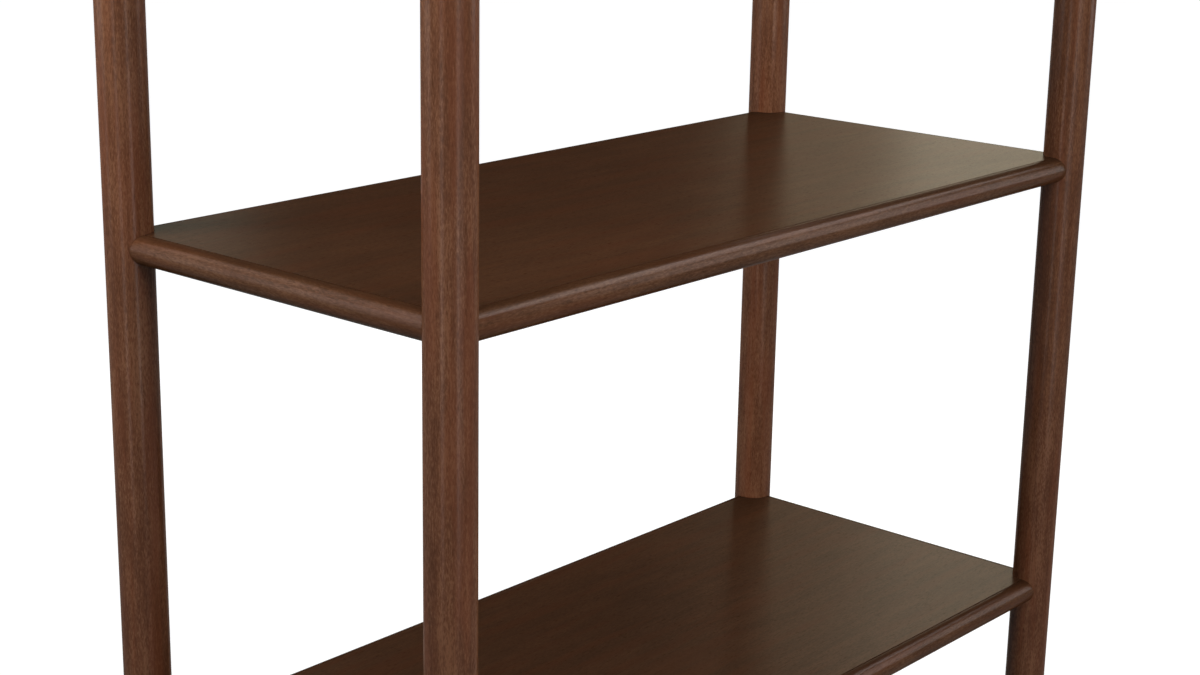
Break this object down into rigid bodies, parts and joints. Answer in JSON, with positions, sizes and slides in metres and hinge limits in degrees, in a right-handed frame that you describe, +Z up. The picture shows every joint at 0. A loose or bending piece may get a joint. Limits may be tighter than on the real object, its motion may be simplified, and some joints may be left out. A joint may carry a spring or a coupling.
{
  "type": "etagere",
  "caption": "Tall open etagere: flat shelves edged with full-round rails, held between four round posts on threaded levelling feet.",
  "frame": {"origin": "on the floor under the middle of the etagere, with the feet screwed fully in", "axes": "+Z up along the posts; +X to the right along the shelves, seen from the front; +Y from front to back"},
  "size_m": [0.9144, 0.4152, 1.981],
  "materials": {
    "post_wood": "dark walnut stain, satin lacquer",
    "rail_wood": "dark walnut stain, satin lacquer",
    "panel_wood": "dark walnut stain, satin lacquer",
    "screw_steel": "black oxide",
    "stem_steel": "zinc plated",
    "pad_nylon": "moulded nylon, matte"
  },
  "bodies": {
    "shelving": {"post_front_left": "post_wood", "post_front_right": "post_wood", "post_back_left": "post_wood", "post_back_right": "post_wood", "shelf_1_panel": "panel_wood", "shelf_1_rail_front": "rail_wood", "shelf_1_rail_right": "rail_wood", "shelf_1_rail_back": "rail_wood", "shelf_1_rail_left": "rail_wood", "shelf_1_screw_front_left": "screw_steel", "shelf_1_screw_front_right": "screw_steel", "shelf_1_screw_back_left": "screw_steel", "shelf_1_screw_back_right": "screw_steel", "shelf_2_panel": "panel_wood", "shelf_2_rail_front": "rail_wood", "shelf_2_rail_right": "rail_wood", "shelf_2_rail_back": "rail_wood", "shelf_2_rail_left": "rail_wood", "shelf_2_screw_front_left": "screw_steel", "shelf_2_screw_front_right": "screw_steel", "shelf_2_screw_back_left": "screw_steel", "shelf_2_screw_back_right": "screw_steel", "shelf_3_panel": "panel_wood", "shelf_3_rail_front": "rail_wood", "shelf_3_rail_right": "rail_wood", "shelf_3_rail_back": "rail_wood", "shelf_3_rail_left": "rail_wood", "shelf_3_screw_front_left": "screw_steel", "shelf_3_screw_front_right": "screw_steel", "shelf_3_screw_back_left": "screw_steel", "shelf_3_screw_back_right": "screw_steel", "shelf_4_panel": "panel_wood", "shelf_4_rail_front": "rail_wood", "shelf_4_rail_right": "rail_wood", "shelf_4_rail_back": "rail_wood", "shelf_4_rail_left": "rail_wood", "shelf_4_screw_front_left": "screw_steel", "shelf_4_screw_front_right": "screw_steel", "shelf_4_screw_back_left": "screw_steel", "shelf_4_screw_back_right": "screw_steel", "shelf_5_panel": "panel_wood", "shelf_5_rail_front": "rail_wood", "shelf_5_rail_right": "rail_wood", "shelf_5_rail_back": "rail_wood", "shelf_5_rail_left": "rail_wood", "shelf_5_screw_front_left": "screw_steel", "shelf_5_screw_front_right": "screw_steel", "shelf_5_screw_back_left": "screw_steel", "shelf_5_screw_back_right": "screw_steel"},
    "pad_front_left": {"leveler_base_front_left": "pad_nylon"},
    "stem_front_left": {"leveler_stem_front_left": "stem_steel"},
    "pad_front_right": {"leveler_base_front_right": "pad_nylon"},
    "stem_front_right": {"leveler_stem_front_right": "stem_steel"},
    "pad_back_left": {"leveler_base_back_left": "pad_nylon"},
    "stem_back_left": {"leveler_stem_back_left": "stem_steel"},
    "pad_back_right": {"leveler_base_back_right": "pad_nylon"},
    "stem_back_right": {"leveler_stem_back_right": "stem_steel"}
  },
  "joints": [
    {"name": "lift_front_left", "type": "slide", "parent": "shelving", "child": "pad_front_left", "axis": [0, 0, -1], "range_m": [0, 0.01]},
    {"name": "turn_front_left", "type": "hinge", "parent": "pad_front_left", "child": "stem_front_left", "pos_m": [-0.4367, -0.1871, 0.0083], "axis": [0, 0, -1], "range_deg": [0, 2880]},
    {"name": "lift_front_right", "type": "slide", "parent": "shelving", "child": "pad_front_right", "axis": [0, 0, -1], "range_m": [0, 0.01]},
    {"name": "turn_front_right", "type": "hinge", "parent": "pad_front_right", "child": "stem_front_right", "pos_m": [0.4367, -0.1871, 0.0083], "axis": [0, 0, -1], "range_deg": [0, 2880]},
    {"name": "lift_back_left", "type": "slide", "parent": "shelving", "child": "pad_back_left", "axis": [0, 0, -1], "range_m": [0, 0.01]},
    {"name": "turn_back_left", "type": "hinge", "parent": "pad_back_left", "child": "stem_back_left", "pos_m": [-0.4367, 0.1871, 0.0083], "axis": [0, 0, -1], "range_deg": [0, 2880]},
    {"name": "lift_back_right", "type": "slide", "parent": "shelving", "child": "pad_back_right", "axis": [0, 0, -1], "range_m": [0, 0.01]},
    {"name": "turn_back_right", "type": "hinge", "parent": "pad_back_right", "child": "stem_back_right", "pos_m": [0.4367, 0.1871, 0.0083], "axis": [0, 0, -1], "range_deg": [0, 2880]}
  ],
  "couplings": [
    {"joint": "turn_front_left", "follows": "lift_front_left", "rad_per_m": 5026.5},
    {"joint": "turn_front_right", "follows": "lift_front_right", "rad_per_m": 5026.5},
    {"joint": "turn_back_left", "follows": "lift_back_left", "rad_per_m": 5026.5},
    {"joint": "turn_back_right", "follows": "lift_back_right", "rad_per_m": 5026.5}
  ]
}
